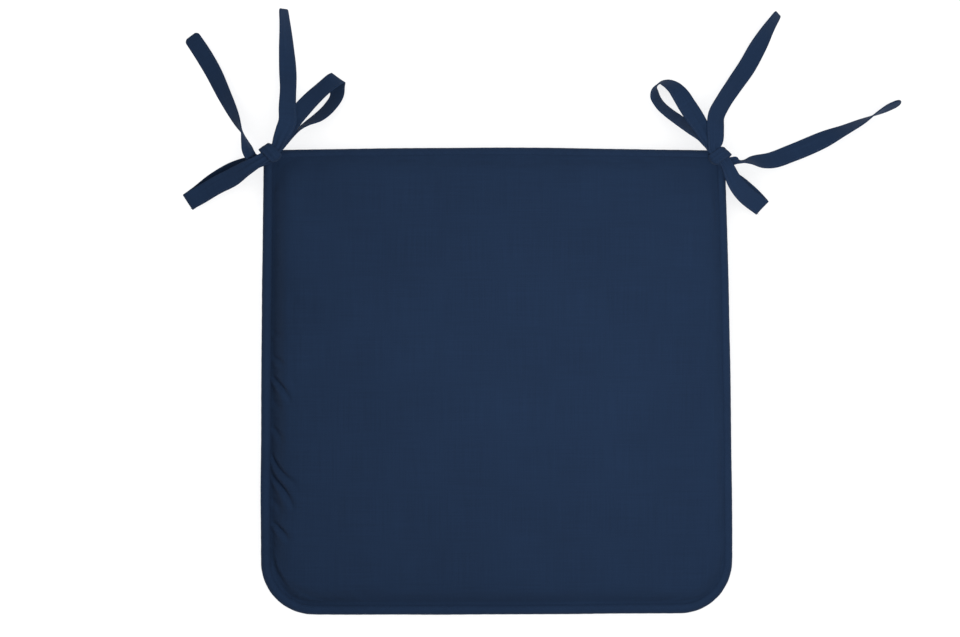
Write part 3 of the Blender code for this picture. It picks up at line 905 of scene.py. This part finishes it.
def make_stitches(name, route, seed, roll):
    """A line of small raised stitches on both faces of a tape."""
    length = route.travelled[-1]
    bm = bmesh.new()
    cut = bm.verts.layers.float_vector.new("cut")
    long, wide, thick = STITCH_HALF
    for number in range(round((length - UNSTITCHED) / STITCH_PITCH)):
        along = FIRST_STITCH + STITCH_PITCH * number
        for side in (1.0, -1.0):
            ball = bmesh.ops.create_uvsphere(bm, u_segments=SEGMENTS, v_segments=BANDS,
                                             radius=1.0)
            for vert in ball["verts"]:
                x, y, z = vert.co
                flat = (along + long * z, STITCH_LINE + wide * x,
                        side * (STITCH_OFF + thick * y))
                vert.co = Vector(flat) * MM
                vert[cut] = Vector((flat[1], flat[0], 0.0)) * MM
    bend(bm, route, seed, roll)
    return to_object(bm, name)


print(f"stitches: one every {STITCH_PITCH} mm")

# %% [markdown]
# Now the four tapes are cut, stitched and bent, each with its own small irregularities.

# %% Tie both bows
Tie = namedtuple("Tie", "name bow rows seed roll corner_radius")
TIES = [
    Tie("tie_left_core", LEFT_BOW,
        CORE_START + LEFT_CORE_LOOP + CORE_THROUGH + LEFT_CORE_TAIL, 1.0, 0.0, 1.2),
    Tie("tie_left_wrap", LEFT_BOW,
        WRAP_START + LEFT_WRAP_LOOP + WRAP_THROUGH + LEFT_WRAP_TAIL, 2.0, 1.7, 3.0),
    Tie("tie_right_core", RIGHT_BOW,
        CORE_START + RIGHT_CORE_LOOP + CORE_THROUGH + RIGHT_CORE_TAIL, 3.0, 0.0, 1.2),
    Tie("tie_right_wrap", RIGHT_BOW,
        WRAP_START + RIGHT_WRAP_LOOP + WRAP_THROUGH + RIGHT_WRAP_TAIL, 4.0, -1.7, 6.5),
]
tapes = {}
stitching = {}
for tie in TIES:
    route = tie_route(tie.bow, tie.rows)
    tape = make_tape(tie.name + "_tape", route, tie.seed, tie.roll, tie.corner_radius)
    made_solid(tape, "SUBSURF", levels=1, render_levels=1)
    stitches = make_stitches(tie.name + "_stitches", route, tie.seed, tie.roll)
    for piece in (tape, stitches):
        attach(piece, "root")
    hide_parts(tie.name)
    tapes[tie.name], stitching[tie.name] = tape, stitches
    print(f"{tie.name}: {route.travelled[-1]:.0f} mm of tape, {len(tape.data.polygons)} faces")

# %% [markdown]
# ## Navy cotton
#
# Cover, bias strip and tapes are one cloth: a plain weave of dyed cotton, matt, with
# threads about half a millimetre wide that go over and under one another. It could be
# painted as one navy colour, but light then finds nothing to catch on. So the threads are
# drawn from two sine waves across the flat cut: their product says which thread is on
# top, and the higher of the two is the height of the cloth. The same height darkens the
# gaps with painted shade, roughens them and tilts the light, so all three always agree.

# %% Short ways to add nodes
THREAD = 0.00055  # from one thread to the next, in metres


class Finish:
    """A Principled material, with short ways to add and join its nodes."""

    def __init__(self, name):
        self.material = bpy.data.materials.new(name)
        self.material.use_nodes = True
        self.tree = self.material.node_tree
        self.shader = self.tree.nodes["Principled BSDF"]

    def put(self, socket, value):
        if isinstance(value, bpy.types.NodeSocket):
            self.tree.links.new(value, socket)
        else:
            socket.default_value = value

    def node(self, kind, inputs, **settings):
        added = self.tree.nodes.new("ShaderNode" + kind)
        for key, value in settings.items():
            setattr(added, key, value)
        for key, value in inputs.items():
            self.put(added.inputs[key], value)
        return added

    def math(self, operation, *values):
        return self.node("Math", dict(enumerate(values)), operation=operation).outputs[0]

    def noise(self, place, scale, detail=1.0):
        """Soft noise from 0 to 1, stretched by a scale on each axis."""
        place = self.node("Mapping", {"Vector": place, "Scale": scale}).outputs[0]
        return self.node("TexNoise", {"Vector": place, "Scale": 1.0, "Detail": detail}).outputs[0]

    def surface(self, **inputs):
        """Sets or joins inputs of the shader itself; _ stands for a space in their names."""
        for key, value in inputs.items():
            self.put(self.shader.inputs[key.replace("_", " ")], value)

    def spread(self, value, low, high, to_low, to_high):
        return self.node("MapRange", {"Value": value, "From Min": low, "From Max": high,
                                      "To Min": to_low, "To Max": to_high}).outputs[0]

    def shades(self, value, stops):
        """A colour ramp from (position, colour) stops."""
        ramp = self.node("ValToRGB", {"Fac": value})
        while len(ramp.color_ramp.elements) < len(stops):
            ramp.color_ramp.elements.new(0.5)
        for element, (position, colour) in zip(ramp.color_ramp.elements, stops):
            element.position, element.color = position, (*colour, 1.0)
        return ramp.outputs[0]


# %% [markdown]
# The grain wavers a little, as in real cloth. On the strip of the piping it lies at 45
# degrees to the edge, and the outer middle of that strip is worn a little paler.

# %% The weave
def woven(name, colour, turn=0.0, rubbed=None):
    """Plain-woven cotton. turn is the angle of the grain to the cut edge, and rubbed the
    (middle, half width) in metres of a paler line along the piece."""
    finish = Finish(name)
    do = finish.math
    cut = finish.node("UVMap", {}, uv_map="cut cloth").outputs[0]
    grain = finish.node("Mapping", {"Vector": cut, "Rotation": (0.0, 0.0, turn)}).outputs[0]
    waver = finish.node("TexNoise", {"Vector": grain, "Scale": 70.0, "Detail": 1.0}).outputs[1]
    grain = finish.node("VectorMath", {0: waver, 1: (0.0005, 0.0005, 0.0), 2: grain},
                        operation="MULTIPLY_ADD").outputs[0]
    u, v, _ = finish.node("SeparateXYZ", {0: grain}).outputs
    across = do("SINE", do("MULTIPLY", u, math.pi / THREAD))
    along = do("SINE", do("MULTIPLY", v, math.pi / THREAD))
    over = do("MULTIPLY_ADD", do("MULTIPLY", across, along), 0.5, 0.5)
    under = do("SUBTRACT", 1.0, over)
    warp = do("MULTIPLY", do("ABSOLUTE", across), over)
    weft = do("MULTIPLY", do("ABSOLUTE", along), under)
    height = do("MAXIMUM", warp, weft)

    # Yarns are uneven along their length, and so is the dye.
    warp_yarn = finish.noise(grain, (900.0, 22.0, 1.0), 2.0)
    weft_yarn = finish.noise(grain, (22.0, 900.0, 1.0), 2.0)
    yarn = do("ADD", do("MULTIPLY", warp_yarn, over), do("MULTIPLY", weft_yarn, under))
    dye = finish.noise(grain, (14.0, 14.0, 1.0), 3.0)
    tone = do("MULTIPLY_ADD", do("SUBTRACT", yarn, 0.5), 0.45, 0.5)
    tone = do("MULTIPLY_ADD", do("SUBTRACT", dye, 0.5), 0.2, tone)
    # Painted shade: the low gaps between threads are painted darker.
    tone = do("MULTIPLY_ADD", do("SUBTRACT", height, 0.62), 0.6, tone)
    if rubbed:
        middle, half_width = rubbed
        aside = finish.node("SeparateXYZ", {0: cut}).outputs[0]
        off = do("ABSOLUTE", do("SUBTRACT", aside, middle))
        tone = do("ADD", tone, finish.spread(off, 0.0, half_width, 0.10, 0.0))
    deep, light = [tuple(c * share for c in colour) for share in (0.55, 1.45)]
    shade = finish.shades(tone, [(0.1, deep), (0.5, colour), (0.9, light)])
    gloss = finish.spread(height, 0.2, 1.0, 0.95, 0.8)
    relief = do("MULTIPLY_ADD", yarn, 0.6, height)
    bump = finish.node("Bump", {"Height": relief, "Strength": 0.8, "Distance": 0.00007})
    finish.surface(Base_Color=shade, Roughness=gloss, Normal=bump.outputs[0],
                   Specular_IOR_Level=0.12, Sheen_Weight=0.06, Sheen_Roughness=0.5,
                   Sheen_Tint=(0.45, 0.6, 0.9, 1.0))
    return finish.material


NAVY = (0.0098, 0.0243, 0.0594)
NAVY_TAPE = (0.0109, 0.0270, 0.0660)
RUBBED_WIDTH = 0.004
cotton = woven("navy cotton", NAVY)
bias_strip = woven("navy cotton on the bias", NAVY, turn=math.radians(45.0),
                   rubbed=(around_cloth * MM / 2, RUBBED_WIDTH))
tape_cloth = woven("navy tape", NAVY_TAPE)
cover.data.materials.append(cotton)
piping.data.materials.append(bias_strip)
for tape in tapes.values():
    tape.data.materials.append(tape_cloth)
print(f"weave: {0.01 / THREAD:.0f} threads to the centimetre")

# %% [markdown]
# ## Sewing thread
#
# The tapes are closed with a two-ply thread, a shade lighter than the cloth. Each stitch
# is only a few dozen faces, so its twist is left to the material: slanting bands along
# the stitch, which dent it where the two plies meet and paint shade into its colour there.

# %% Thread
PLY = 0.0005  # length of one turn of the twist, in metres
THREAD_SHADES = [(0.1, (0.008, 0.016, 0.036)), (0.6, (0.018, 0.034, 0.074)),
                 (1.0, (0.026, 0.046, 0.094))]
thread = Finish("navy sewing thread")
cut = thread.node("UVMap", {}, uv_map="cut cloth").outputs[0]
u, v, _ = thread.node("SeparateXYZ", {0: cut}).outputs
slant = thread.math("ADD", u, v)
twist = thread.math("ABSOLUTE", thread.math("SINE", thread.math("MULTIPLY", slant, math.pi / PLY)))
fibre = thread.noise(cut, (3000.0, 3000.0, 1.0), 2.0)
# Painted shade: the twist's bands are darker where the two plies meet.
tone = thread.math("MULTIPLY_ADD", fibre, 0.4, thread.math("MULTIPLY", twist, 0.6))
dent = thread.node("Bump", {"Height": tone, "Strength": 0.8, "Distance": 0.00006})
thread.surface(Base_Color=thread.shades(tone, THREAD_SHADES),
               Roughness=thread.spread(tone, 0.0, 1.0, 0.8, 0.55), Normal=dent.outputs[0],
               Specular_IOR_Level=0.3)
for stitches in stitching.values():
    stitches.data.materials.append(thread.material)
print("stitches:", sum(len(s.data.polygons) // (SEGMENTS * BANDS) for s in stitching.values()))

# %% [markdown]
# ## The studio
#
# The pad lies on a plain pale floor and the camera looks straight down on it, from high
# up with a long lens, so that the sides hardly splay. A white room lights it evenly from
# all sides. One soft light, above and a little to the right, gives the navy its slow
# change of tone and leaves the creases on the left side their shadows. It would also throw
# the shadow of the pad on the floor, so it falls on the pad alone and the floor has a
# light of its own.

# %% Floor
FLOOR_HALF = 3.0  # half its width in metres
FLOOR_DROP = 0.0005  # it lies this far below the pad

floor_mesh = bpy.data.meshes.new("floor")
bm = bmesh.new()
bmesh.ops.create_grid(bm, x_segments=1, y_segments=1, size=FLOOR_HALF)
bmesh.ops.translate(bm, verts=bm.verts, vec=(0.0, 0.0, -FLOOR_DROP))
bm.to_mesh(floor_mesh)
bm.free()
floor = bpy.data.objects.new("floor", floor_mesh)
bpy.context.scene.collection.objects.link(floor)
paper = Finish("pale paper")
place = paper.node("TexCoord", {}).outputs["Object"]
mottle = paper.noise(place, (3.0, 3.0, 3.0), 2.0)
paper.surface(Base_Color=paper.shades(mottle, [(0.3, (0.86,) * 3), (0.7, (0.88,) * 3)]),
              Roughness=0.9, Specular_IOR_Level=0.1)
floor_mesh.materials.append(paper.material)
floor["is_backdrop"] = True
print(f"floor: {floor.dimensions.x:.0f} m square")

# %% Lights and camera
ROOM_LIGHT = 0.45
KEY_LIGHT = 4.1
KEY_PLACE = Vector((0.16, 0.06, 0.70))
KEY_SIZE = 0.22
FLOOR_LIGHT = 2.7
FLOOR_LIGHT_PLACE = Vector((0.3, 0.2, 2.0))
CAMERA_PLACE = Vector((-0.0144, 0.05306, 2.0495))

scene = bpy.context.scene
world = bpy.data.worlds.new("white room")
world.use_nodes = True
world.node_tree.nodes["Background"].inputs["Color"].default_value = (1.0, 1.0, 1.0, 1.0)
world.node_tree.nodes["Background"].inputs["Strength"].default_value = ROOM_LIGHT
scene.world = world


def add_light(name, kind, energy, place, lit):
    """A light that points at the origin and falls on these objects alone."""
    light = bpy.data.objects.new(name, bpy.data.lights.new(name, kind))
    light.data.energy = energy
    light.location = place
    light.rotation_euler = (-place).to_track_quat("-Z", "Y").to_euler()
    scene.collection.objects.link(light)
    group = bpy.data.collections.new(name + " falls on")
    for piece in lit:
        group.objects.link(piece)
    light.light_linking.receiver_collection = group
    light.visible_camera = False
    return light.data


pad_pieces = [cover, piping, *tapes.values(), *stitching.values()]
key = add_light("soft key", "AREA", KEY_LIGHT, KEY_PLACE, pad_pieces)
key.shape, key.size = "DISK", KEY_SIZE
sun = add_light("floor light", "SUN", FLOOR_LIGHT, FLOOR_LIGHT_PLACE, [floor])
sun.use_shadow = False

lens = bpy.data.cameras.new("long lens")
lens.lens, lens.sensor_width, lens.clip_start = 90.0, 36.0, 0.05
camera = bpy.data.objects.new("camera", lens)
camera.location = CAMERA_PLACE
scene.collection.objects.link(camera)
scene.camera = camera
scene.view_settings.view_transform = "Standard"
print(f"the camera is {CAMERA_PLACE.z:.2f} m above the floor")

# %% [markdown]
# ## Measure and finish
#
# The last step prints the size of the finished object's box beside that of the solids.

# %% Measure
finished_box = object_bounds()
for axis, letter in enumerate("xyz"):
    sizes = [1000 * (box[1][axis] - box[0][axis]) for box in (cad_box, finished_box)]
    print(f"{letter}: solids {sizes[0]:.1f} mm, finished {sizes[1]:.1f} mm")
